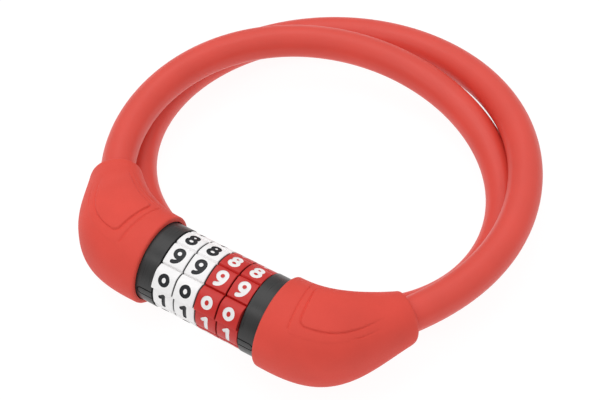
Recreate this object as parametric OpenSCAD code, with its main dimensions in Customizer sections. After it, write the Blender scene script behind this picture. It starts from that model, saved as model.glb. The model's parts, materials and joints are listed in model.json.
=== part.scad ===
// Four-dial combination cable lock with a coiled, plastic-covered steel cable.
// The origin is the centre of the cable loop, on the surface that the lock lies on.
// +X runs along the lock barrel towards the plug, +Y from the barrel across the loop.

/* [Barrel] */
// Height of the barrel's axis above the surface
barrel_z = 21; // [20.5:0.5:22]
// Distance from the loop's centre back to the barrel's axis
barrel_back = 60; // [59.5:0.5:60.5]
// How far the elbows dip towards the surface, in degrees
tilt = 3; // [2:0.5:4]
// Radius of the black end collars
collar_r = 13.9; // [13.6:0.1:14]
// Half the distance between the outer ends of the collars
collar_end = 27.4; // [27:0.1:27.5]

/* [Dials] */
// Number of figures round a dial
figures = 10; // [10]
// Distance from one dial to the next
dial_pitch = 8.3; // [8.3:0.1:8.4]
// Width of one dial
dial_w = 8; // [7.8:0.1:8]
// Radius at the face of a figure pad
pad_r = 13.7; // [13.4:0.1:13.8]
// Extra height of the raised pad that carries the zero
zero_rise = 1.7; // [0.5:0.1:1.8]
// Depth of the grooves between the pads
groove_depth = 0.7; // [0.3:0.1:1]

/* [Core and plug] */
// Outer radius of the slotted core tube
core_r = 5.5; // [5.3:0.1:5.5]
// Radius of the locking pin
pin_r = 3.2; // [3:0.1:3.2]
// Reach of the pin's lugs from the axis
lug_r = 7; // [6.6:0.1:7]
// Width of a lug across the slot
lug_w = 2.6; // [2:0.1:2.6]
// Running clearance between turning or sliding pieces
play = 0.06; // [0.05:0.01:0.1]

/* [Boots] */
// Distance from the middle of the barrel to a boot's rim
rim_x = 23; // [22.8:0.1:23.2]
// Radius of a boot's rim
rim_r = 15.8; // [15.7:0.1:15.9]
// Wall thickness of the rubber
boot_wall = 2; // [1.6:0.1:2.2]
// Distance from the middle of the barrel to the elbow's corner
elbow_x = 43; // [43]
// Angle between the barrel and the cable outlets
leg_angle = 59; // [59]
// How far both outlets lean towards the left, in degrees
lean = 2; // [2]

/* [Cable] */
// Outer diameter of the cable's plastic jacket
cable_d = 12; // [11.6:0.1:12]
// Diameter of the steel rope inside the jacket
rope_d = 6; // [4:0.5:6]

/* [Hidden] */
DIALS = 4;

step_deg = 360 / figures;
round_fn = 96;
small_fn = 32;

// The slot side of the core points up, the index marks and the figure 1 face the front.
slot_w = lug_w + 0.4;
slot_depth = lug_r + 0.4;
gate_r = lug_r + 0.5;
web = 3;
lug_len = 2.4;
lug_back = 0.7;
ring_r = 9.4;
key_r = 10.2;
key_w = 2;
washer_t = 0.2;
core_end = 29.4;
core_left = 38;
tongue_len = 5;
tongue_w = 3.4;
groove_w = 0.5;
clip_x = 27.6;
clip_t = 0.8;
leaf_w = 3;
elbow_face = 29.8;
flange_t = 3;
flange_r = 12.2;
knuckle_r = 8;
leg_r = 6.4;
ferrule_r = 4.8;
ferrule_from = 9;
ferrule_to = 21;
leg_to = 20.5;
rope_end = 10;
jacket_end = 22.5;
boot_end = 29.3;
bend_from = 30.5;
roll_x = 35.5;
roll_len = 18;
pin_tip = 20;

// The cable's route: radius about the loop's centre and height, at every turn_step degrees
// clockwise from the left boot to the right one. A smooth curve runs close by each pair; the
// first and the last pair lie beyond the ends and only give the direction there.
turn_from = 210;
turn_step = 30;
route = [[66.8, 22.1],
    [68.9, 19.2], [70.7, 18.9], [71.1, 19.3], [67.6, 18.7], [65.9, 15.5], [66.5, 10.8],
    [66.4, 7.4], [63.1, 6], [55.5, 6], [46.2, 6], [42.2, 6], [48.4, 6], [60.8, 6],
    [71.4, 6], [80.2, 6], [84.9, 7.7], [82.9, 12], [77.3, 17.2], [72.2, 19.5], [68.7, 19.3],
    [65.4, 19], [69.9, 22.5]];
rings_per_step = 3;
cable_sides = 12;
rope_sides = 8;

// ---- Placing ----

// Puts what is drawn about the barrel's own axis in its place above the surface.
module in_barrel() {
    translate([0, -barrel_back, barrel_z]) rotate([-tilt, 0, 0]) children();
}

// Turns what stands on the XY plane to run along +X from x.
module along_x(x) {
    translate([x, 0, 0]) rotate([0, 90, 0]) children();
}

// Puts one end of the lock in place. Both ends are drawn as the right one; the left end is
// its mirror image, with the lean the other way.
module at_end(side) {
    $outlet = leg_turn(side);
    in_barrel() mirror([side < 0 ? 1 : 0, 0, 0]) children();
}

// Turns what stands on the XY plane to run along the cable outlet of the end being drawn.
module along_leg(from) {
    translate([elbow_x, 0, 0]) rotate([0, 0, $outlet]) translate([from, 0, 0])
        rotate([0, 90, 0]) children();
}

module tube(r_out, r_in, length) {
    difference() {
        cylinder(r = r_out, h = length, $fn = round_fn);
        translate([0, 0, -1]) cylinder(r = r_in, h = length + 2, $fn = round_fn);
    }
}

// The angle of a cable outlet from the barrel; side is -1 on the left, 1 on the right.
function leg_turn(side) = leg_angle + side * lean;
// The angle, in the plane across the barrel, of a place phi degrees up from the front.
function clock(phi) = -90 - phi;
function dial_x(n) = (n - (DIALS + 1) / 2) * dial_pitch;

// ---- Swept shapes ----

// One closed skin from rows of points: each row is a ring, and the last row meets the first.
module looped_skin(rows) {
    n = len(rows);
    m = len(rows[0]);
    polyhedron(
        points = [for (row = rows) for (p = row) p],
        faces = [for (i = [0:n - 1]) for (j = [0:m - 1])
            let (a = i * m + j, b = i * m + (j + 1) % m)
            let (c = ((i + 1) % n) * m + j, d = ((i + 1) % n) * m + (j + 1) % m)
            for (f = [[a, c, b], [b, c, d]]) f],
        convexity = 8);
}

// A solid from rows of points, closed by a flat face at each end.
module capped_skin(rows) {
    n = len(rows);
    m = len(rows[0]);
    polyhedron(
        points = [for (row = rows) for (p = row) p],
        faces = concat(
            [for (i = [0:n - 2]) for (j = [0:m - 1])
                let (a = i * m + j, b = i * m + (j + 1) % m)
                let (c = (i + 1) * m + j, d = (i + 1) * m + (j + 1) % m)
                for (f = [[a, c, b], [b, c, d]]) f],
            [[for (j = [0:m - 1]) j]],
            [[for (j = [0:m - 1]) n * m - 1 - j]]),
        convexity = 8);
}

// ---- Cable ----

// A smooth curve drawn towards four values, and one that passes through them.
function smooth4(a, b, c, d, u) =
    ((1 - u) ^ 3 * a + (3 * u ^ 3 - 6 * u ^ 2 + 4) * b
        + (3 * u + 3 * u ^ 2 - 3 * u ^ 3 + 1) * c + u ^ 3 * d) / 6;
function through4(a, b, c, d, u) =
    0.5 * (2 * b + (c - a) * u + (2 * a - 5 * b + 4 * c - d) * u ^ 2
        + (3 * b - a - 3 * c + d) * u ^ 3);
function on_route(s) =
    let (i = min(floor(s), len(route) - 4), u = s - i)
    let (p = smooth4(route[i], route[i + 1], route[i + 2], route[i + 3], u))
    let (a = turn_from - turn_step * s)
    [p[0] * cos(a), p[0] * sin(a), p[1]];
steps = len(route) - 3;

// A place on the axis of a cable outlet.
function leg_point(side, along) =
    let (y = along * sin(leg_turn(side)))
    [side * (elbow_x + along * cos(leg_turn(side))), y * cos(tilt) - barrel_back,
        barrel_z - y * sin(tilt)];
cable_line = concat([leg_point(-1, jacket_end), leg_point(-1, bend_from)],
    [for (k = [1:steps * rings_per_step - 1]) on_route(k / rings_per_step)],
    [leg_point(1, bend_from), leg_point(1, jacket_end)]);
rope_line = concat([leg_point(-1, rope_end)], cable_line, [leg_point(1, rope_end)]);

function unit(v) = v / norm(v);
function heading(line, i) =
    unit(line[min(i + 1, len(line) - 1)] - line[max(i - 1, 0)]);
// Points round one place on a line, in the plane across it.
function ring_at(line, i, r, sides) =
    let (t = heading(line, i), side = unit(cross([0, 0, 1], t)), up = cross(t, side))
    [for (j = [0:sides - 1]) let (a = 360 * j / sides)
        line[i] + r * (cos(a) * side + sin(a) * up)];

module cable_jacket() {
    color("indianred") looped_skin([
        for (i = [0:len(cable_line) - 1])
            ring_at(cable_line, i, cable_d / 2, cable_sides),
        for (i = [len(cable_line) - 1:-1:0])
            ring_at(cable_line, i, rope_d / 2 + 0.3, cable_sides)]);
}

module steel_rope() {
    color("silver") capped_skin([for (i = [0:len(rope_line) - 1])
        ring_at(rope_line, i, rope_d / 2, rope_sides)]);
}

// ---- Boots ----

// Plan of a boot: one curve along the inside of the bend and one along the outside. The
// places past the elbow's corner turn with the cable outlet.
inner_curve = [[rim_x, rim_r], [30.5, 16], [36.5, 15.5], [43, 21], [49, 28], [51, 29.4]];
outer_curve = [[rim_x, -rim_r], [36, -16.5], [49.5, -14], [56.5, -6], [59.5, 8.5], [65.7, 20.5]];
turns_from = 3;
// Half the height of a boot, at even steps from the rim to the cable outlet.
boot_height = [rim_r, 15.2, 14, 12.2, 10.2, 8.6];
// How much squarer than an ellipse a boot's section is at its middle.
squareness = 0.5;
boot_steps = 24;
boot_sides = 28;
rim_lip = 0.5;
end_lip = 1.2;
skirt_rows = 3;
hollow_to = 18;
throat_from = 24;
throat_rows = 3;

function bezier(p, t) = len(p) == 1 ? p[0]
    : bezier([for (i = [0:len(p) - 2]) (1 - t) * p[i] + t * p[i + 1]], t);
// A boot's curve with its outer places turned about the elbow's corner.
function leaning(curve, side) =
    let (c = cos(side * lean), s = sin(side * lean))
    [for (i = [0:len(curve) - 1]) let (x = curve[i][0] - elbow_x, y = curve[i][1])
        i < turns_from ? curve[i] : [elbow_x + x * c - y * s, x * s + y * c]];
function height_at(t) =
    let (n = len(boot_height) - 1, s = t * n, i = min(floor(s), n - 1), u = s - i)
    let (h = boot_height, last = n)
    through4(i > 0 ? h[i - 1] : h[0], h[i], h[i + 1], h[min(i + 2, last)], u);
function swell(v, power) = sign(v) * pow(abs(v), power);
// Points of the section at t, drawn in by inset on every side and no larger than most.
function boot_ring(side, t, inset, most = 100) =
    let (a = bezier(leaning(inner_curve, side), t), b = bezier(leaning(outer_curve, side), t))
    let (c = (a + b) / 2, half = norm(a - b) / 2, e = (a - b) / norm(a - b))
    let (w = min(most, half - inset), h = min(most, height_at(t) - inset))
    let (power = w < most ? 2 / (2 + squareness * sin(180 * t) ^ 2) : 1)
    [for (j = [0:boot_sides - 1]) let (q = 360 * (j + 0.5) / boot_sides)
        let (x = w * swell(cos(q), power))
        [c[0] + x * e[0], c[1] + x * e[1], h * swell(sin(q), power)]];
// Points of the round hole that grips the cable.
function throat_ring(side, along) =
    let (r = (cable_d / 2 + 0.1) / cos(180 / boot_sides), turn = leg_turn(side))
    [for (j = [0:boot_sides - 1]) let (q = 360 * (j + 0.5) / boot_sides)
        [elbow_x + along * cos(turn) - r * cos(q) * sin(turn),
            along * sin(turn) + r * cos(q) * cos(turn), r * sin(q)]];
function boot_rows(side) = concat(
    [boot_ring(side, 0, rim_lip)],
    [for (k = [1:boot_steps]) boot_ring(side, (k - 0.5) / boot_steps, 0)],
    [boot_ring(side, 1, end_lip)],
    [for (k = [throat_rows:-1:0])
        throat_ring(side, throat_from + k * (boot_end - 0.6 - throat_from) / throat_rows)],
    [for (k = [hollow_to:-1:skirt_rows + 1]) boot_ring(side, k / boot_steps, boot_wall)],
    [for (k = [skirt_rows:-1:0]) boot_ring(side, k / boot_steps, 0, collar_r + 0.35)]);

module boot(side) {
    rows = boot_rows(side);
    color("indianred") at_end(side)
        looped_skin([for (i = [len(rows) - 1:-1:0]) rows[i]]);
}

module left_boot() {
    boot(-1);
}

module right_boot() {
    boot(1);
}

// ---- Elbows, the rigid ends inside the boots ----

module elbow(bore_r, bore_to) {
    difference() {
        union() {
            along_x(elbow_face) cylinder(r = flange_r, h = flange_t, $fn = round_fn);
            along_x(elbow_face + flange_t) cylinder(r1 = flange_r - 1, r2 = knuckle_r,
                h = elbow_x - elbow_face - flange_t, $fn = round_fn);
            translate([elbow_x, 0, 0]) sphere(r = knuckle_r, $fn = round_fn);
            along_leg(0) cylinder(r = leg_r, h = leg_to, $fn = round_fn);
        }
        along_x(elbow_face - 1) cylinder(r = bore_r, h = bore_to - elbow_face + 1, $fn = round_fn);
        along_leg(ferrule_from - 0.3)
            cylinder(r = ferrule_r + 0.05, h = leg_to, $fn = round_fn);
        translate([roll_x, 0, -flange_r]) cylinder(r = 1.05, h = 2 * flange_r, $fn = small_fn);
        along_leg((ferrule_from + ferrule_to) / 2) rotate([0, 90, 0])
            cylinder(r = 1.55, h = leg_r + 1, $fn = small_fn);
    }
}

module roll_pin() {
    translate([roll_x, 0, -roll_len / 2]) cylinder(r = 1, h = roll_len, $fn = small_fn);
}

module ferrule() {
    along_leg(ferrule_from) tube(ferrule_r, rope_d / 2 + 0.05, ferrule_to - ferrule_from);
}

module grub_screw() {
    along_leg((ferrule_from + ferrule_to) / 2) rotate([0, 90, 0])
        translate([0, 0, ferrule_r + 0.05]) difference() {
            cylinder(r = 1.5, h = leg_r - ferrule_r - 0.1, $fn = small_fn);
            translate([0, 0, 0.6]) cylinder(r = 0.8, h = 2, $fn = 6);
        }
}

module left_elbow() {
    color("dimgray") at_end(-1) union() {
        elbow(core_r + 0.05, core_left + 0.3);
        along_x(collar_end + 0.1) tube(flange_r, core_r + 0.05, elbow_face - collar_end);
    }
}

module right_elbow() {
    color("dimgray") at_end(1) elbow(pin_r + 0.05, elbow_x - 1);
}

module left_roll_pin() {
    color("silver") at_end(-1) roll_pin();
}

module right_roll_pin() {
    color("silver") at_end(1) roll_pin();
}

module left_ferrule() {
    color("darkgray") at_end(-1) ferrule();
}

module right_ferrule() {
    color("darkgray") at_end(1) ferrule();
}

module left_grub_screw() {
    color("black") at_end(-1) grub_screw();
}

module right_grub_screw() {
    color("black") at_end(1) grub_screw();
}

// ---- Barrel core ----

// A way for the lugs, open from the axis out to r.
module lug_way(x, length, r) {
    translate([x, -slot_w / 2, 0]) cube([length, slot_w, r]);
}

module core_tube() {
    color("gray") in_barrel() difference() {
        along_x(-core_left) cylinder(r = core_r, h = core_left + core_end, $fn = round_fn);
        along_x(-pin_tip - 1) cylinder(r = pin_r + play, h = pin_tip + core_end + 2, $fn = round_fn);
        lug_way(-2 * dial_pitch, 2 * dial_pitch + core_end + 1, core_r + 1);
        // groove for the retaining ring
        along_x(clip_x - 0.05) difference() {
            cylinder(r = core_r + 1, h = clip_t + 0.1, $fn = round_fn);
            translate([0, 0, -1]) cylinder(r = core_r - 0.5, h = clip_t + 3, $fn = round_fn);
        }
        // seat for the detent spring, on the side away from the slot
        translate([-2 * dial_pitch - 0.2, -leaf_w / 2 - 0.1, -core_r - 1])
            cube([4 * dial_pitch + 0.4, leaf_w + 0.2, 2.1]);
        translate([-roll_x, 0, -core_r - 1]) cylinder(r = 1.05, h = 2 * core_r + 2, $fn = small_fn);
    }
}

module detent_spring() {
    color("lightsteelblue") in_barrel() {
        translate([-2 * dial_pitch, -leaf_w / 2, 0.65 - core_r])
            cube([4 * dial_pitch, leaf_w, 0.4]);
        for (n = [1:DIALS]) along_x(dial_x(n) + 1.5) translate([core_r - 0.5, 0, 0])
            cylinder(r = 0.45, h = 2, $fn = small_fn);
    }
}

module retaining_ring() {
    color("silver") in_barrel() difference() {
        along_x(clip_x) tube(core_r + 1.6, core_r - 0.45, clip_t);
        translate([clip_x - 1, -slot_w / 2 - 0.6, 0]) cube([clip_t + 2, slot_w + 1.2, core_r + 3]);
    }
}

module spacer_washers() {
    color("gainsboro") in_barrel() for (k = [0:DIALS]) difference() {
        along_x((k - DIALS / 2) * dial_pitch - washer_t / 2)
            tube(ring_r, core_r + play, washer_t);
        lug_way((k - DIALS / 2) * dial_pitch - 1, 2, slot_depth);
    }
}

// ---- Collars ----

// The outline of a tongue-shaped index mark, cut as a fine groove; it points to the dials.
module tongue(length, width) {
    circle(d = width, $fn = small_fn);
    translate([0, -width / 2]) square([length, width]);
}

module collar() {
    inside = 2 * dial_pitch + washer_t;
    difference() {
        along_x(inside) tube(collar_r, core_r + play, collar_end - inside);
        lug_way(inside - 1, collar_end, slot_depth);
        translate([rim_x - 2, groove_w - collar_r, 0]) rotate([90, 0, 0])
            linear_extrude(2) difference() {
                mirror([1, 0]) tongue(tongue_len, tongue_w);
                mirror([1, 0]) tongue(tongue_len + 1, tongue_w - 2 * groove_w);
            }
    }
}

module left_collar() {
    color("darkslategray") in_barrel() mirror([1, 0, 0]) collar();
}

module right_collar() {
    color("darkslategray") in_barrel() collar();
}

// ---- Dials ----

// Raised block of the zero: a steep step on the side of the 1 and a ramp towards the 9.
module zero_block() {
    top = [for (phi = [-16:2:10]) [phi, pad_r + zero_rise]];
    outline = concat([[-16.5, pad_r - 2]], [[-16.5, pad_r + zero_rise - 0.4]], top,
        [[17, pad_r - 0.1], [17, pad_r - 2]]);
    polygon([for (p = outline) p[1] * [cos(clock(step_deg + p[0])), sin(clock(step_deg + p[0]))]]);
}

module number_wheel(n) {
    notch = (groove_depth + 0.45) * sqrt(2);
    in_barrel() along_x(dial_x(n) - dial_w / 2) difference() {
        union() {
            difference() {
                cylinder(r = pad_r, h = dial_w, $fn = round_fn);
                for (k = [0:figures - 1]) rotate(clock((k + 0.5) * step_deg))
                    translate([pad_r + 0.45, 0, -1]) rotate(45)
                        translate([-notch / 2, -notch / 2, 0]) cube([notch, notch, dial_w + 2]);
            }
            linear_extrude(dial_w) zero_block();
        }
        translate([0, 0, -1]) cylinder(r = ring_r + 0.04, h = dial_w + 2, $fn = round_fn);
        translate([-key_r - 0.05, -key_w / 2 - 0.05, -1])
            cube([2 * key_r + 0.1, key_w + 0.1, dial_w + 2]);
    }
}

module tumbler_ring(n) {
    in_barrel() difference() {
        union() {
            along_x(dial_x(n) - dial_w / 2) cylinder(r = ring_r, h = dial_w, $fn = round_fn);
            translate([dial_x(n) - dial_w / 2, -key_w / 2, -key_r]) cube([dial_w, key_w, 2 * key_r]);
        }
        along_x(dial_x(n) - dial_w / 2 - 1) cylinder(r = core_r + play, h = dial_w + 2, $fn = round_fn);
        along_x(dial_x(n) - dial_w / 2 - 1) cylinder(r = gate_r, h = dial_w + 1 - web, $fn = round_fn);
        lug_way(dial_x(n), dial_w, gate_r);
        // ten shallow seats for the detent spring
        for (k = [0:figures - 1]) along_x(dial_x(n)) rotate(k * step_deg)
            translate([core_r + play, 0, -1]) cylinder(r = 0.5, h = dial_w, $fn = small_fn);
    }
}

module number_wheel_1() {
    color("white") number_wheel(1);
}

module number_wheel_2() {
    color("white") number_wheel(2);
}

module number_wheel_3() {
    color("crimson") number_wheel(3);
}

module number_wheel_4() {
    color("crimson") number_wheel(4);
}

module tumbler_ring_1() {
    color("gold") tumbler_ring(1);
}

module tumbler_ring_2() {
    color("gold") tumbler_ring(2);
}

module tumbler_ring_3() {
    color("gold") tumbler_ring(3);
}

module tumbler_ring_4() {
    color("gold") tumbler_ring(4);
}

// ---- Plug ----

module locking_pin() {
    color("silver") in_barrel() difference() {
        union() {
            along_x(1 - pin_tip) cylinder(r = pin_r, h = pin_tip + elbow_x - 2.2, $fn = round_fn);
            along_x(-pin_tip) cylinder(r1 = pin_r - 1, r2 = pin_r, h = 1, $fn = round_fn);
            for (n = [1:DIALS]) translate([dial_x(n) - lug_back - lug_len / 2, -lug_w / 2, 0])
                cube([lug_len, lug_w, lug_r]);
        }
        translate([roll_x, 0, -pin_r - 1]) cylinder(r = 1.05, h = 2 * pin_r + 2, $fn = small_fn);
    }
}

core_tube();
left_collar();
right_collar();
retaining_ring();
spacer_washers();
detent_spring();
left_elbow();
left_roll_pin();
left_ferrule();
left_grub_screw();
left_boot();
cable_jacket();
steel_rope();
number_wheel_1();
number_wheel_2();
number_wheel_3();
number_wheel_4();
tumbler_ring_1();
tumbler_ring_2();
tumbler_ring_3();
tumbler_ring_4();
locking_pin();
right_elbow();
right_roll_pin();
right_ferrule();
right_grub_screw();
right_boot();
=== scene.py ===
import json
import math

import bpy
import numpy as np
from mathutils import Matrix, Vector


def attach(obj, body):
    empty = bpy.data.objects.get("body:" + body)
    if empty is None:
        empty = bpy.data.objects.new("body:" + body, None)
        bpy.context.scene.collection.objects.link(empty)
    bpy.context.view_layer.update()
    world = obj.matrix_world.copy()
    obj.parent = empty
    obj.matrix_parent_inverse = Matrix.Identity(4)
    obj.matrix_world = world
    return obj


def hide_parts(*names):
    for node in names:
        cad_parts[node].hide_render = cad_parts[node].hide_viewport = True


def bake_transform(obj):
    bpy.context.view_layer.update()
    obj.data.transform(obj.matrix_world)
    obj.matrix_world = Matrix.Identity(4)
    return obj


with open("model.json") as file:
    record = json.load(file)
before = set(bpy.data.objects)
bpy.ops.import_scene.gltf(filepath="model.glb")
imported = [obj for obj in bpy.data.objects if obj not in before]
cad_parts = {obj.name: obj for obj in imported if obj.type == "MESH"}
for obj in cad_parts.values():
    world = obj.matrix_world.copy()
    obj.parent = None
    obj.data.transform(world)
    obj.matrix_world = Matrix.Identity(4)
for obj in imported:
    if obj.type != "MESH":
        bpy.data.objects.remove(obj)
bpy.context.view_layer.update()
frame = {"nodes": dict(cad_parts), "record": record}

MM = 0.001

# ---- Camera, at the photograph's viewing angle ----

BARREL = Vector((0, -60, 21)) * MM
VIEW_AZIMUTH = math.radians(32.28)
VIEW_ELEVATION = math.radians(49.58)
VIEW_LENS_MM = 95.5
# From the barrel's middle to the camera: to the right, up and back.
VIEW_OFFSET = (26.6, 29.4, 518)
SENSOR_MM = 36

right = Vector((math.cos(VIEW_AZIMUTH), math.sin(VIEW_AZIMUTH), 0))
back = Vector((math.sin(VIEW_AZIMUTH) * math.cos(VIEW_ELEVATION),
               -math.cos(VIEW_AZIMUTH) * math.cos(VIEW_ELEVATION),
               math.sin(VIEW_ELEVATION)))
up = back.cross(right)
camera = bpy.data.objects.new("camera", bpy.data.cameras.new("camera"))
bpy.context.scene.collection.objects.link(camera)
turn = Matrix((right, up, back)).transposed().to_4x4()
place = BARREL + MM * (VIEW_OFFSET[0] * right + VIEW_OFFSET[1] * up + VIEW_OFFSET[2] * back)
camera.matrix_world = Matrix.Translation(place) @ turn
camera.data.sensor_fit = "HORIZONTAL"
camera.data.sensor_width = SENSOR_MM
camera.data.lens = VIEW_LENS_MM
camera.data.clip_start = 0.02
camera.data.clip_end = 20
bpy.context.scene.camera = camera

# ---- Meshes ----

SHARP_FROM = math.radians(35)


def make_object(name, points, faces, materials, face_slots=None):
    """A smooth-shaded mesh object; face_slots picks each face's material from materials."""
    mesh = bpy.data.meshes.new(name)
    mesh.from_pydata([tuple(p) for p in points], [], [tuple(f) for f in faces])
    for m in materials:
        mesh.materials.append(m)
    if face_slots is not None:
        mesh.polygons.foreach_set("material_index", np.array(face_slots, np.int32))
    mesh.polygons.foreach_set("use_smooth", np.ones(len(mesh.polygons), bool))
    mesh.validate()
    mesh.update()
    mesh.set_sharp_from_angle(angle=SHARP_FROM)
    obj = bpy.data.objects.new(name, mesh)
    bpy.context.scene.collection.objects.link(obj)
    return obj


def looped_faces(n, m, flip=False):
    """Faces of a closed skin: n rings of m points, and the last ring meets the first."""
    faces = []
    for i in range(n):
        k = (i + 1) % n
        for j in range(m):
            q = (j + 1) % m
            face = (i * m + j, i * m + q, k * m + q, k * m + j)
            faces.append(face[::-1] if flip else face)
    return faces


def in_barrel(points):
    """Points about the barrel's own axis, in millimetres, put in their place in metres."""
    p = np.asarray(points, float)
    c, s = math.cos(TILT), math.sin(TILT)
    return np.stack([p[..., 0] * MM, (p[..., 1] * c + p[..., 2] * s) * MM + BARREL.y,
                     (p[..., 2] * c - p[..., 1] * s) * MM + BARREL.z], -1)


def around(radius, phi):
    """A point across the barrel: phi degrees up from the front."""
    a = np.radians(phi)
    return -radius * np.cos(a), radius * np.sin(a)


def bezier(p, t):
    """The point at t, from 0 to 1, of the curve that the points p control."""
    p = np.asarray(p, float)
    while len(p) > 1:
        p = (1 - t) * p[:-1] + t * p[1:]
    return p[0]


def outlet(side):
    """The angle of a cable outlet from the barrel; side is -1 on the left, 1 on the right."""
    return math.radians(LEG_ANGLE + LEAN * side)


# How far the elbows dip towards the surface, and the cable outlets' angles in degrees.
TILT = math.radians(3)
LEG_ANGLE, LEAN = 59, 2
# From the barrel's middle to an elbow's corner, in millimetres.
ELBOW_X = 43

# ---- Cable ----

# The route from part.scad, in metres: radius about the loop's centre and height.
TURN_FROM, TURN_STEP = 210, 30
ROUTE = np.array([
    (0.0668, 0.0221),
    (0.0689, 0.0192), (0.0707, 0.0189), (0.0711, 0.0193), (0.0676, 0.0187), (0.0659, 0.0155),
    (0.0665, 0.0108), (0.0664, 0.0074), (0.0631, 0.0060), (0.0555, 0.0060), (0.0462, 0.0060),
    (0.0422, 0.0060), (0.0484, 0.0060), (0.0608, 0.0060), (0.0714, 0.0060), (0.0802, 0.0060),
    (0.0849, 0.0077), (0.0829, 0.0120), (0.0773, 0.0172), (0.0722, 0.0195), (0.0687, 0.0193),
    (0.0654, 0.0190), (0.0699, 0.0225)])
CABLE_R, BORE_R, ROPE_R = 6 * MM, 3.3 * MM, 3 * MM
# Places along each outlet, in millimetres from the elbow's corner: the straight lead runs
# from the jacket's end to where the bend starts, and the rope starts deeper in the elbow.
CABLE_LEAD = (22.5, 24.5, 26.5, 28.5, 30.5)
ROPE_LEAD = (10, 13, 16, 19)
RINGS_PER_STEP = 14


def on_route(s):
    """The point after s steps of the route: a smooth curve close by its points."""
    i = min(int(s), len(ROUTE) - 4)
    u = s - i
    a, b, c, d = ROUTE[i:i + 4]
    r, z = ((1 - u) ** 3 * a + (3 * u ** 3 - 6 * u ** 2 + 4) * b
            + (3 * u + 3 * u ** 2 - 3 * u ** 3 + 1) * c + u ** 3 * d) / 6
    angle = math.radians(TURN_FROM - TURN_STEP * s)
    return np.array([r * math.cos(angle), r * math.sin(angle), z])


def leg_point(side, along):
    """A point on the middle line of a cable outlet."""
    a = outlet(side)
    return in_barrel([side * (ELBOW_X + along * math.cos(a)), along * math.sin(a), 0])


def distances(path):
    """How far along a path each of its points is."""
    return np.concatenate([[0], np.cumsum(np.linalg.norm(np.diff(path, axis=0), axis=1))])


def sweep(path, radius, sides):
    """Rings about a path; radius is a function of the angle and of the distance along."""
    path = np.asarray(path)
    ahead = np.gradient(path, axis=0)
    ahead /= np.linalg.norm(ahead, axis=1)[:, None]
    side = np.cross([0, 0, 1], ahead)
    side /= np.linalg.norm(side, axis=1)[:, None]
    over = np.cross(ahead, side)
    angle = np.linspace(0, 2 * math.pi, sides, endpoint=False)
    r = radius(angle[None, :], distances(path)[:, None])
    return (path[:, None, :] + (r * np.cos(angle))[..., None] * side[:, None, :]
            + (r * np.sin(angle))[..., None] * over[:, None, :])


steps = len(ROUTE) - 3
inner_route = [on_route(k / RINGS_PER_STEP) for k in range(1, steps * RINGS_PER_STEP)]
cable_path = np.array([leg_point(-1, a) for a in CABLE_LEAD] + inner_route
                      + [leg_point(1, a) for a in CABLE_LEAD[::-1]])
rope_path = np.concatenate([[leg_point(-1, a) for a in ROPE_LEAD], cable_path,
                            [leg_point(1, a) for a in ROPE_LEAD[::-1]]])

# ---- Materials ----

# Depth of the finest relief, in metres.
GRAIN_DEPTH = 0.0001


def new_material(name, colour, roughness, metallic=0.0):
    """A material with its node tree and its shader node."""
    m = bpy.data.materials.new(name)
    m.use_nodes = True
    tree = m.node_tree
    shader = tree.nodes["Principled BSDF"]
    shader.inputs["Base Color"].default_value = (*colour, 1)
    shader.inputs["Roughness"].default_value = roughness
    shader.inputs["Metallic"].default_value = metallic
    return m, tree, shader


def noise(tree, scale, detail=3.0, stretch=None, coords="Object"):
    """A noise value; stretch scales it along each axis, so that it runs in lines."""
    source = tree.nodes.new("ShaderNodeTexCoord").outputs[coords]
    if stretch:
        mapping = tree.nodes.new("ShaderNodeMapping")
        mapping.inputs["Scale"].default_value = stretch
        tree.links.new(source, mapping.inputs["Vector"])
        source = mapping.outputs["Vector"]
    n = tree.nodes.new("ShaderNodeTexNoise")
    n.inputs["Scale"].default_value = scale
    n.inputs["Detail"].default_value = detail
    tree.links.new(source, n.inputs["Vector"])
    return n.outputs["Fac"]


def ranged(tree, value, low, high, from_low=0.3, from_high=0.7):
    """Maps value from the range from_low to from_high, where noise mostly lies, to low to high."""
    r = tree.nodes.new("ShaderNodeMapRange")
    r.inputs["From Min"].default_value = from_low
    r.inputs["From Max"].default_value = from_high
    r.inputs["To Min"].default_value = low
    r.inputs["To Max"].default_value = high
    tree.links.new(value, r.inputs["Value"])
    return r.outputs["Result"]


def tinted(tree, shader, colour, value, amount):
    """Lets the colour wander by amount, darker and lighter."""
    mix = tree.nodes.new("ShaderNodeMix")
    mix.data_type = "RGBA"
    mix.inputs["A"].default_value = (*[c * (1 - amount) for c in colour], 1)
    mix.inputs["B"].default_value = (*[min(1, c * (1 + amount)) for c in colour], 1)
    tree.links.new(value, mix.inputs["Factor"])
    tree.links.new(mix.outputs["Result"], shader.inputs["Base Color"])


def bumped(tree, shader, heights, distance=GRAIN_DEPTH):
    """Adds up bumps; each is a height and its strength."""
    normal = None
    for value, strength in heights:
        b = tree.nodes.new("ShaderNodeBump")
        b.inputs["Strength"].default_value = strength
        b.inputs["Distance"].default_value = distance
        tree.links.new(value, b.inputs["Height"])
        if normal is not None:
            tree.links.new(normal, b.inputs["Normal"])
        normal = b.outputs["Normal"]
    tree.links.new(normal, shader.inputs["Normal"])


def rubber(name, colour):
    """Matt rubber with a fine grain and faint clouds."""
    m, tree, shader = new_material(name, colour, 0.6)
    cloud = noise(tree, 60, 4)
    grain = noise(tree, 2600, 2)
    tinted(tree, shader, colour, ranged(tree, cloud, 0, 1), 0.05)
    tree.links.new(ranged(tree, grain, 0.52, 0.7), shader.inputs["Roughness"])
    bumped(tree, shader, [(grain, 0.16), (noise(tree, 240, 3), 0.1)], 0.00012)
    shader.inputs["Specular IOR Level"].default_value = 0.25
    return m


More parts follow.
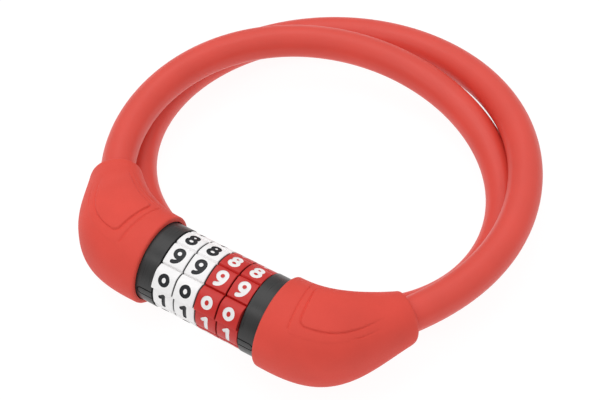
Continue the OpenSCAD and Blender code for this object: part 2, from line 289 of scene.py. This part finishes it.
def vinyl(name, colour):
    """Smooth plastic tube: faint streaks from its making run along it."""
    m, tree, shader = new_material(name, colour, 0.42)
    cloud = noise(tree, 45, 3)
    streak = noise(tree, 1, 4, (700, 30, 1), "UV")
    grain = noise(tree, 1900, 2)
    tinted(tree, shader, colour, ranged(tree, cloud, 0, 1), 0.04)
    tree.links.new(ranged(tree, streak, 0.36, 0.5), shader.inputs["Roughness"])
    bumped(tree, shader, [(grain, 0.07), (streak, 0.12)])
    shader.inputs["Specular IOR Level"].default_value = 0.4
    shader.inputs["Subsurface Weight"].default_value = 0.06
    shader.inputs["Subsurface Radius"].default_value = (0.0015, 0.0004, 0.0003)
    shader.inputs["Subsurface Scale"].default_value = 1.0
    return m


def moulded(name, colour, roughness):
    """Hard moulded plastic or thick paint."""
    m, tree, shader = new_material(name, colour, roughness)
    cloud = noise(tree, 120, 3)
    grain = noise(tree, 3200, 2)
    tinted(tree, shader, colour, ranged(tree, cloud, 0, 1), 0.03)
    tree.links.new(ranged(tree, grain, roughness - 0.05, roughness + 0.07), shader.inputs["Roughness"])
    bumped(tree, shader, [(grain, 0.03), (cloud, 0.05)])
    shader.inputs["Specular IOR Level"].default_value = 0.34
    return m


def satin_black(name, colour):
    """Black moulding polished round its axis: fine lines run round the barrel."""
    m, tree, shader = new_material(name, colour, 0.33)
    lines = noise(tree, 1, 3, (5200, 160, 160))
    cloud = noise(tree, 160, 3)
    tinted(tree, shader, colour, ranged(tree, lines, 0, 1), 0.16)
    tree.links.new(ranged(tree, lines, 0.27, 0.42), shader.inputs["Roughness"])
    bumped(tree, shader, [(lines, 0.1), (cloud, 0.03)])
    shader.inputs["Specular IOR Level"].default_value = 0.36
    return m


def metal(name, colour, roughness, lines_along=None):
    """Bare metal; lines_along stretches its grain into brushed lines."""
    m, tree, shader = new_material(name, colour, roughness, 1.0)
    grain = noise(tree, 900, 3, lines_along)
    tinted(tree, shader, colour, ranged(tree, grain, 0, 1), 0.08)
    tree.links.new(ranged(tree, grain, roughness - 0.06, roughness + 0.1), shader.inputs["Roughness"])
    bumped(tree, shader, [(grain, 0.12)])
    return m


# The boots and the cable are the same red. The keys are the record's material slots, with
# the dials' side walls, darkened with painted shade, and the paint of their figures added.
RED = (0.71, 0.069, 0.048)
MATERIALS = {
    "steel": metal("steel", (0.55, 0.55, 0.56), 0.3, (8, 1, 1)),
    "black_collar": satin_black("black_collar", (0.028, 0.028, 0.028)),
    "spring_steel": metal("spring_steel", (0.62, 0.62, 0.64), 0.25),
    "dark_zinc": metal("dark_zinc", (0.2, 0.2, 0.21), 0.5),
    "aluminium": metal("aluminium", (0.75, 0.75, 0.76), 0.35, (1, 6, 6)),
    "black_screw": metal("black_screw", (0.05, 0.05, 0.05), 0.45),
    "red_rubber": rubber("red_rubber", RED),
    "red_vinyl": vinyl("red_vinyl", RED),
    "galvanised_wire": metal("galvanised_wire", (0.6, 0.61, 0.62), 0.38),
    "white_dial": moulded("white_dial", (0.9, 0.89, 0.89), 0.38),
    "red_dial": moulded("red_dial", (0.56, 0.022, 0.018), 0.38),
    # The dials' side walls are darker than their faces: painted shade, so that the gaps between the
    # dials look dark.
    "white_dial_side_painted_shade": moulded("white_dial_side_painted_shade", (0.24, 0.24, 0.24), 0.6),
    "red_dial_side_painted_shade": moulded("red_dial_side_painted_shade", (0.26, 0.012, 0.01), 0.6),
    "brass": metal("brass", (0.78, 0.62, 0.3), 0.3, (6, 1, 1)),
    "black_paint": moulded("black_paint", (0.012, 0.014, 0.017), 0.42),
    "white_paint": moulded("white_paint", (0.86, 0.85, 0.85), 0.45),
}

# ---- Cable pieces ----

CABLE_SIDES, ROPE_SIDES = 48, 36
# One turn of the rope's strands, in metres, and the share of its radius between them.
LAY_LENGTH, STRAND_DEPTH = 0.03, 0.1


def even(radius):
    """A radius for sweep that is the same all round and all along."""
    return lambda angle, along: radius + 0 * angle + 0 * along


def strands(angle, along):
    """Six strands, which show as round ridges that wind along the rope."""
    twist = along * 2 * math.pi / LAY_LENGTH
    ridge = np.abs(np.cos(3 * (angle - twist)))
    return ROPE_R * (1 - STRAND_DEPTH + STRAND_DEPTH * ridge)


outer = sweep(cable_path, even(CABLE_R), CABLE_SIDES)
inner = sweep(cable_path, even(BORE_R), CABLE_SIDES)
jacket_rings = np.concatenate([outer, inner[::-1]])
n, m = jacket_rings.shape[:2]
cable = make_object("cable_jacket_tube", jacket_rings.reshape(-1, 3), looped_faces(n, m, True),
                    [MATERIALS["red_vinyl"]])
# UV in metres: round the jacket and along it, for the streaks of its material.
uv = cable.data.uv_layers.new(name="UVMap")
ring_distance = np.concatenate([distances(cable_path), distances(cable_path)[::-1]])
corner_uv = np.zeros((len(cable.data.loops), 2), np.float32)
loop_vertex = np.zeros(len(cable.data.loops), np.int32)
cable.data.loops.foreach_get("vertex_index", loop_vertex)
corner_uv[:, 0] = (loop_vertex % CABLE_SIDES) / CABLE_SIDES * 2 * math.pi * CABLE_R
corner_uv[:, 1] = ring_distance[loop_vertex // CABLE_SIDES]
# Where a face closes the turn, its U ends at the full turn and not back at 0.
wrap = corner_uv[:, 0].reshape(-1, 4)
seam = wrap.max(1) - wrap.min(1) > math.pi * CABLE_R
wrap[seam[:, None] & (wrap == 0)] = 2 * math.pi * CABLE_R
uv.data.foreach_set("uv", corner_uv.ravel())

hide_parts("cable_jacket")
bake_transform(cable)

rope_rings = sweep(rope_path, strands, ROPE_SIDES)
n, m = rope_rings.shape[:2]
rope_skin = looped_faces(n, m, True)[:(n - 1) * m]
rope_ends = [range(m), range(n * m - 1, (n - 1) * m - 1, -1)]
rope = make_object("steel_rope_strands", rope_rings.reshape(-1, 3), rope_skin + rope_ends,
                   [MATERIALS["galvanised_wire"]])
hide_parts("steel_rope")
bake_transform(rope)

# ---- Boots ----

# In millimetres about the barrel's axis, drawn for the right boot. t runs along a boot, from
# 0 at the rim to 1 at the cable end; side is -1 for the left boot and 1 for the right one.
RIM_X, RIM_R, COLLAR_R, BOOT_WALL = 23, 15.8, 13.9, 2
# A boot's two outlines seen from above, and half its height at even steps along it.
INNER_CURVE = np.array([(RIM_X, RIM_R), (30.5, 16), (36.5, 15.5), (43, 21), (49, 28), (51, 29.4)])
OUTER_CURVE = np.array([(RIM_X, -RIM_R), (36, -16.5), (49.5, -14), (56.5, -6), (59.5, 8.5),
                        (65.7, 20.5)])
BOOT_HEIGHT = np.array([RIM_R, 15.2, 14, 12.2, 10.2, 8.6])
# The points of an outline from this one on lean with the cable outlet.
TURNS_FROM = 3
SQUARENESS = 0.5
BOOT_SIDES = 240
BOOT_ANGLES = (np.arange(BOOT_SIDES) + 0.5) * 2 * math.pi / BOOT_SIDES
# About how long a boot is, and how far round it one degree reaches, for placing the relief.
BOOT_LENGTH, MM_PER_DEGREE = 52, 0.235
# The raised panels: t where each starts, its sides in degrees round the boot from the inside
# of the bend, and the radius of its corners. Then how high each stands, in millimetres.
WIDE_PANEL, WIDE_RISE = (0.16, 50, 131, 1.5), 0.14
SMALL_PANEL, SMALL_RISE = (0.215, 62, 117, 2), 0.45
# The grooves along their edges: depth and width. The wide one stops at an angle.
WIDE_GROOVE, SMALL_GROOVE = (0.3, 0.34), (0.2, 0.3)
WIDE_GROOVE_TO = 128
# Over how much an edge rises on either side of its line, and how far the outer sides of the
# panels have drooped at the cable end, in degrees.
EDGE_HALF, DROOP = 0.3, 14


def leaning(curve, side):
    """An outline with its cable end turned by the outlet's lean."""
    a = math.radians(LEAN * side)
    turned = curve.copy()
    turned[TURNS_FROM:] -= [ELBOW_X, 0]
    turned[TURNS_FROM:] = turned[TURNS_FROM:] @ [[math.cos(a), math.sin(a)], [-math.sin(a), math.cos(a)]]
    turned[TURNS_FROM:] += [ELBOW_X, 0]
    return turned


def boot_height(t):
    """Half a boot's height at t: a smooth curve through BOOT_HEIGHT."""
    n = len(BOOT_HEIGHT) - 1
    s = t * n
    i = min(int(s), n - 1)
    u = s - i
    h = BOOT_HEIGHT
    a, b, c, d = h[max(i - 1, 0)], h[i], h[i + 1], h[min(i + 2, n)]
    return 0.5 * (2 * b + (c - a) * u + (2 * a - 5 * b + 4 * c - d) * u * u
                  + (3 * b - a - 3 * c + d) * u ** 3)


def soft_step(x, low, high):
    """Rises smoothly from 0 at low to 1 at high."""
    u = np.clip((x - low) / (high - low), 0, 1)
    return u * u * (3 - 2 * u)


def panel(t, side, droop, starts, low, high, corner):
    """How far inside a raised panel a place lies, in millimetres; less than zero outside it."""
    ahead = (t - starts) * BOOT_LENGTH
    inward = np.minimum(high - droop - side, side - low) * MM_PER_DEGREE
    out = np.hypot(np.maximum(corner - ahead, 0), np.maximum(corner - inward, 0))
    return corner - out


def raised(t):
    """Relief on a boot's upper and lower faces: two panels, one on the other."""
    side = np.degrees(np.abs((BOOT_ANGLES + math.pi) % (2 * math.pi) - math.pi))
    droop = DROOP * soft_step(t, 0.35, 0.95)
    fade = 1 - soft_step(t, 0.58, 0.8)
    wide = panel(t, side, droop * 0.8, *WIDE_PANEL)
    small = panel(t, side, droop, *SMALL_PANEL)
    depth, width = WIDE_GROOVE
    relief = WIDE_RISE * soft_step(wide, -EDGE_HALF, EDGE_HALF)
    relief -= depth * np.exp(-(wide / width) ** 2) * (side < WIDE_GROOVE_TO)
    depth, width = SMALL_GROOVE
    relief += SMALL_RISE * soft_step(small, -EDGE_HALF, EDGE_HALF)
    relief -= depth * np.exp(-((small + EDGE_HALF) / width) ** 2)
    return relief * fade


def boot_ring(side, t, inset=0.0, most=math.inf, relief=False):
    """A ring of a boot's skin: inset lies inside it, and no half-axis is longer than most."""
    a, b = bezier(leaning(INNER_CURVE, side), t), bezier(leaning(OUTER_CURVE, side), t)
    c, half = (a + b) / 2, np.linalg.norm(a - b) / 2
    e = (a - b) / (2 * half)
    w, h = min(most, half - inset), min(most, boot_height(t) - inset)
    power = 2 / (2 + SQUARENESS * math.sin(math.pi * t) ** 2) if w < most else 1
    cos, sin = np.cos(BOOT_ANGLES), np.sin(BOOT_ANGLES)
    lift = raised(t) if relief else 0
    x = (w + lift) * np.sign(cos) * np.abs(cos) ** power
    z = (h + lift) * np.sign(sin) * np.abs(sin) ** power
    return np.stack([c[0] + x * e[0], c[1] + x * e[1], z], -1)


def throat_ring(side, along):
    """A ring of the hole that the cable leaves through."""
    r, a = CABLE_R / MM + THROAT_PLAY, outlet(side)
    x, z = r * np.cos(BOOT_ANGLES), r * np.sin(BOOT_ANGLES)
    return np.stack([ELBOW_X + along * math.cos(a) - x * math.sin(a),
                     along * math.sin(a) + x * math.cos(a), z], -1)


# Rows of rings: t and inset at the rounded rim and lip, places along the outlet in the
# throat, and t on the inside, first of the hollow and then of the bore over the collar.
THROAT_PLAY, COLLAR_PLAY = 0.08, 0.3
RIM_ROUND = [(0, 1.1), (0.001, 0.7), (0.004, 0.34), (0.009, 0.1), (0.016, 0)]
LIP_ROUND = [(0.945, 0.03), (0.956, 0.14), (0.965, 0.37), (0.972, 0.75), (0.977, 1.2), (0.98, 1.7)]
SKIN = np.linspace(0.025, 0.935, 220)
THROAT = (28.8, 27.5, 26, 24)
HOLLOW = np.linspace(0.75, 0.17, 14)
COLLAR_BORE = (0.125, 0.08, 0.04, 0.01, 0)
for side, body, node in ((-1, "lock_body", "left_boot"), (1, "plug", "right_boot")):
    rows = [boot_ring(side, t, i) for t, i in RIM_ROUND]
    rows += [boot_ring(side, t, relief=True) for t in SKIN]
    rows += [boot_ring(side, t, i) for t, i in LIP_ROUND]
    rows += [throat_ring(side, a) for a in THROAT]
    rows += [boot_ring(side, t, BOOT_WALL) for t in HOLLOW]
    rows += [boot_ring(side, t, most=COLLAR_R + COLLAR_PLAY) for t in COLLAR_BORE]
    rows = np.array(rows) * [side, 1, 1]
    n, m = rows.shape[:2]
    boot = make_object(node + "_rubber", in_barrel(rows).reshape(-1, 3),
                       looped_faces(n, m, side < 0), [MATERIALS["red_rubber"]])
    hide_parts(node)
    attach(boot, body)

# ---- Dial sizes ----

# In millimetres and degrees. phi is counted up from the front, where the figure 1 stands.
STEP, PAD_R, DIAL_W, PITCH = 36, 13.7, 7.8, 8.3
GROOVE_DEPTH, GROOVE_HALF = 0.72, 2.4
PAD_CROWN, CROWN_HALF = 0.16, 7
# The zero stands on a raised block that slopes away on its upper side; both ends of the
# block and its corner, as angles from the middle of the zero's pad.
ZERO_RISE, SLOPE, FOOT = 1.7, 9.4, 0.7
BLOCK_FROM, BLOCK_TO, BLOCK_CORNER = -16.6, 17.4, 8
# How its two edges are rounded: how much lower, and over how many degrees.
CORNER_ROUND, FOOT_ROUND = (0.12, 2.5), (0.1, 1.5)
# The bore's radius, the keyways' radius, and half a keyway's width in degrees.
BORE, KEYWAY, KEY_HALF = 9.44, 10.25, 5.8
KEY_PLACES = (90, 270)

# ---- Figures ----

# Lines of one width, in millimetres about the middle of a pad: the width, half a figure's
# height, how much lower the zero is, and the depth that the figures are cut to.
STROKE, TALL, ZERO_SQUEEZE, ENGRAVED = 1.38, 2.35, 0.68, 0.22
# The grid on which the figures are filled.
CELL = 0.13
GRID_X, GRID_Y = np.arange(-2.6, 2.61, CELL), np.arange(-3.51, 3.52, CELL)


def arc(cx, cy, rx, ry, start, stop, n=28):
    """Points on a stretch of an ellipse, from start to stop degrees."""
    a = np.radians(np.linspace(start, stop, n))
    return [(cx + rx * math.cos(x), cy + ry * math.sin(x)) for x in a]


def curve(*p):
    """Points on the curve that the points p control."""
    return [tuple(bezier(np.array(p, float), t)) for t in np.linspace(0, 1, 20)]


SIX = [arc(0, -0.95, 1.42, 1.4, 0, 360, 40),
       curve((-1.42, -0.9), (-1.42, 0.9), (-0.6, 2.2), (1.05, TALL))]
# The lines of each figure from 0 to 9.
FIGURES = [
    [arc(0, 0, 1.4, TALL, 0, 360, 48)],
    [[(-1.0, 1.35), (0.3, TALL), (0.3, -TALL)]],
    [arc(0, 1.0, 1.38, 1.35, 165, -30) + [(-1.4, -TALL), (1.5, -TALL)]],
    [arc(-0.05, 1.15, 1.3, 1.2, 150, -90), arc(-0.05, -1.15, 1.45, 1.2, 90, -150)],
    [[(0.6, -TALL), (0.6, TALL), (-1.5, -0.95), (1.6, -0.95)]],
    [[(1.3, TALL), (-1.0, TALL), (-1.2, 0.25)], arc(0, -0.85, 1.45, 1.5, 135, -150)],
    SIX,
    [[(-1.5, TALL), (1.5, TALL), (-0.45, -TALL)]],
    [arc(0, 1.22, 1.15, 1.13, 0, 360, 36), arc(0, -1.13, 1.42, 1.22, 0, 360, 40)],
    [[(-x, -y) for x, y in line] for line in SIX],
]


def stroke_field(lines, xs, ys):
    """Distance to the nearest stroke's edge, less than zero inside it."""
    gx, gy = np.meshgrid(xs, ys, indexing="ij")
    best = np.full(gx.shape, 1e9)
    for line in lines:
        for (ax, ay), (bx, by) in zip(line, line[1:]):
            dx, dy = bx - ax, by - ay
            t = np.clip(((gx - ax) * dx + (gy - ay) * dy) / max(dx * dx + dy * dy, 1e-12), 0, 1)
            best = np.minimum(best, np.hypot(gx - ax - t * dx, gy - ay - t * dy))
    return best - STROKE / 2


def filled_cells(field, xs, ys):
    """Flat polygons that cover where the field is below zero, cut along its zero line."""
    points, index, faces = [], {}, []

    def point(key, x, y):
        if key not in index:
            index[key] = len(points)
            points.append((x, y))
        return index[key]

    for i in range(len(xs) - 1):
        for j in range(len(ys) - 1):
            ring = [(i, j), (i + 1, j), (i + 1, j + 1), (i, j + 1)]
            values = [field[c] for c in ring]
            if min(values) >= 0:
                continue
            face = []
            for k in range(4):
                a, b, va, vb = ring[k], ring[(k + 1) % 4], values[k], values[(k + 1) % 4]
                if va < 0:
                    face.append(point(a, xs[a[0]], ys[a[1]]))
                if (va < 0) != (vb < 0):
                    u = va / (va - vb)
                    face.append(point((min(a, b), max(a, b)), xs[a[0]] + u * (xs[b[0]] - xs[a[0]]),
                                      ys[a[1]] + u * (ys[b[1]] - ys[a[1]])))
            if len(face) > 2:
                faces.append(face)
    return points, faces


def figure_prism(digit, radius, low, high):
    """A closed block in the shape of a figure, wrapped on its place round a dial."""
    squeeze = ZERO_SQUEEZE if digit == 0 else 1
    lines = [[(x, y * squeeze) for x, y in line] for line in FIGURES[digit]]
    flat, faces = filled_cells(stroke_field(lines, GRID_X, GRID_Y), GRID_X, GRID_Y)
    count = len(flat)
    # An edge that only one face has is on the outline, and gets a wall.
    edges = {edge: True for f in faces for edge in zip(f, f[1:] + f[:1])}
    walls = [(a, b, b + count, a + count) for a, b in edges if (b, a) not in edges]
    solid = []
    for r in (low, high):
        for x, y in flat:
            py, pz = around(r, STEP * (1 - digit) + math.degrees(y / radius))
            solid.append((x, py, pz))
    tops = [tuple(i + count for i in f) for f in faces]
    return solid, [tuple(f[::-1]) for f in faces] + tops + walls


# ---- Dials ----


def pad_radius(phi):
    """The dial's outer radius: shallow pads, V grooves, and the raised block of the zero."""
    off = (phi + STEP / 2) % STEP - STEP / 2
    edge = STEP / 2 - abs(off)
    r = PAD_R - GROOVE_DEPTH * max(0, 1 - edge / GROOVE_HALF) ** 1.2
    r -= PAD_CROWN * max(0, 1 - edge / CROWN_HALF) ** 2
    own = (phi - STEP + 180) % 360 - 180
    if BLOCK_FROM <= own <= BLOCK_TO:
        rise = ZERO_RISE * min(1, max(0, (BLOCK_TO - own) / SLOPE) ** 0.9)
        rise *= min(1, max(0, (own - BLOCK_FROM) / FOOT) ** 0.5)
        rise -= CORNER_ROUND[0] * max(0, 1 - abs(own - BLOCK_CORNER) / CORNER_ROUND[1])
        rise -= FOOT_ROUND[0] * max(0, 1 - (own - BLOCK_FROM - FOOT) / FOOT_ROUND[1])
        r = max(r, PAD_R + rise)
    return r


# The angles of a dial's rows: even ones, and closer ones in the grooves, at the edges of
# the zero's block and at the edges of the keyways.
ROW_STEP, KEY_STEP = 1.5, 0.01
angles = set(np.arange(0, 360, ROW_STEP))
for k in range(len(FIGURES)):
    middle = (k + 0.5) * STEP
    for d in (0, 0.4, 0.8, 1.6, GROOVE_HALF):
        angles |= {round((middle + d) % 360, 3), round((middle - d) % 360, 3)}
angles |= {STEP + round(BLOCK_FROM + d, 3) for d in (0, 0.1, 0.3, 0.5, FOOT, 1.2, 1.7)}
angles |= {STEP + BLOCK_CORNER + d for d in (-1, -0.5, 0.5, 1)}
angles |= {STEP + round(BLOCK_TO - 0.1, 3)}
for middle in KEY_PLACES:
    angles |= {middle - KEY_HALF - KEY_STEP, middle - KEY_HALF}
    angles |= {middle + KEY_HALF, middle + KEY_HALF + KEY_STEP}
angles = sorted(angles)
# Half a dial's section, from its rounded edge to its bore: how far in from the side, and the
# height over the pad, where None is the bore.
HALF = DIAL_W / 2
EDGE = [(0.32, 0), (0.16, -0.02), (0.05, -0.11), (0, -0.24), (0, None)]
SECTION = [(x - HALF, rise) for x, rise in EDGE[::-1]] + [(HALF - x, rise) for x, rise in EDGE]
wheel_points = []
for phi in angles:
    r = pad_radius(phi)
    in_key = any(abs(phi - middle) <= KEY_HALF for middle in KEY_PLACES)
    for x, rise in SECTION:
        y, z = around((KEYWAY if in_key else BORE) if rise is None else r + rise, phi)
        wheel_points.append((x, y, z))
wheel_faces = looped_faces(len(angles), len(SECTION))
# Material slots of a dial: its body, its figures and its side walls, darkened with painted shade.
BODY, PAINT, WALL = range(3)
SIDE_WALLS = (0, len(SECTION) - 2)
wheel_slots = [WALL if j in SIDE_WALLS else BODY for _ in angles for j in range(len(SECTION))]

# Every figure as a block that reaches past the pad, all cut out of one blank dial.
CUTTER_ABOVE, FIGURE_SHARP_FROM = 0.6, math.radians(32)
cutter_points, cutter_faces = [], []
for digit in range(len(FIGURES)):
    radius = PAD_R + (ZERO_RISE if digit == 0 else 0)
    points, faces = figure_prism(digit, radius, radius - ENGRAVED, radius + CUTTER_ABOVE)
    base = len(cutter_points)
    cutter_points += points
    cutter_faces += [tuple(i + base for i in f) for f in faces]
cutter = make_object("figure_cutter", cutter_points, cutter_faces,
                     [MATERIALS["white_dial"], MATERIALS["black_paint"]],
                     [PAINT] * len(cutter_faces))
blank = make_object("dial_blank", wheel_points, wheel_faces,
                    [MATERIALS[x] for x in ("white_dial", "black_paint", "white_dial_side_painted_shade")],
                    wheel_slots)
cut = blank.modifiers.new("figures", "BOOLEAN")
cut.operation = "DIFFERENCE"
cut.solver = "EXACT"
cut.object = cutter
bpy.context.view_layer.update()
carved = bpy.data.meshes.new_from_object(blank.evaluated_get(bpy.context.evaluated_depsgraph_get()))
carved.set_sharp_from_angle(angle=FIGURE_SHARP_FROM)
for o in (cutter, blank):
    bpy.data.objects.remove(o)
carved_points = np.array([v.co for v in carved.vertices])
for k in range(4):
    mesh = carved.copy()
    mesh.name = f"dial_{k + 1}_wheel"
    white = k < 2
    mesh.materials[BODY] = MATERIALS["white_dial" if white else "red_dial"]
    mesh.materials[PAINT] = MATERIALS["black_paint" if white else "white_paint"]
    # The side walls get the darker colour: painted shade in the gaps between the dials.
    mesh.materials[WALL] = MATERIALS["white_dial_side_painted_shade" if white else "red_dial_side_painted_shade"]
    shifted = in_barrel(carved_points + [(k - 1.5) * PITCH, 0, 0])
    mesh.vertices.foreach_set("co", shifted.astype(np.float32).ravel())
    mesh.update()
    wheel = bpy.data.objects.new(f"dial_{k + 1}_wheel", mesh)
    bpy.context.scene.collection.objects.link(wheel)
    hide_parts(f"number_wheel_{k + 1}")
    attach(wheel, f"dial_{k + 1}")

# ---- Carried CAD nodes ----

slots = {s["node"]: s["material_slot"] for s in frame["record"]["subparts"]}
for name, node in frame["nodes"].items():
    node.data.materials.clear()
    node.data.materials.append(MATERIALS[slots[name]])

# ---- Floor and light ----

# A white light table: it glows, so that the lock throws almost no shadow on it.
FLOOR_COLOUR, FLOOR_GLOW, FLOOR_HALF = (0.1, 0.1, 0.1), 0.93, 3
floor_material, floor_tree, floor_shader = new_material("floor", FLOOR_COLOUR, 0.9)
tinted(floor_tree, floor_shader, FLOOR_COLOUR, noise(floor_tree, 3), 0.02)
floor_shader.inputs["Emission Color"].default_value = (1, 1, 1, 1)
floor_shader.inputs["Emission Strength"].default_value = FLOOR_GLOW
floor_corners = [(FLOOR_HALF * x, FLOOR_HALF * y, 0) for x, y in ((-1, -1), (1, -1), (1, 1), (-1, 1))]
floor = make_object("floor", floor_corners, [(0, 1, 2, 3)], [floor_material])

# The sky's light grows from SKY_LOW near the horizon to SKY_HIGH overhead.
SKY_LOW, SKY_HIGH = 0.36, 0.92
LOW_AT, HIGH_AT = 0.05, 0.75
world = bpy.data.worlds.new("studio")
bpy.context.scene.world = world
world.use_nodes = True
sky = world.node_tree.nodes
sky_links = world.node_tree.links
split = sky.new("ShaderNodeSeparateXYZ")
sky_links.new(sky.new("ShaderNodeTexCoord").outputs["Generated"], split.inputs["Vector"])
sky_strength = ranged(world.node_tree, split.outputs["Z"], SKY_LOW, SKY_HIGH, LOW_AT, HIGH_AT)
sky_links.new(sky_strength, sky["Background"].inputs["Strength"])
sky["Background"].inputs["Color"].default_value = (1, 1, 1, 1)


def area_light(name, place, target, size, power):
    """A soft rectangular light at place that faces target; metres and watts."""
    light = bpy.data.lights.new(name, "AREA")
    light.shape = "RECTANGLE"
    light.size, light.size_y = size
    light.energy = power
    obj = bpy.data.objects.new(name, light)
    bpy.context.scene.collection.objects.link(obj)
    obj.location = place
    obj.rotation_mode = "QUATERNION"
    obj.rotation_quaternion = (Vector(target) - Vector(place)).to_track_quat("-Z", "Y")


area_light("key", (-0.35, 0.15, 1.1), (0, 0, 0), (0.9, 0.9), 3.2)
area_light("collar_shine", (-0.33, -0.6, 0.78), BARREL, (0.3, 0.22), 0.7)
bpy.context.scene.view_settings.view_transform = "Standard"
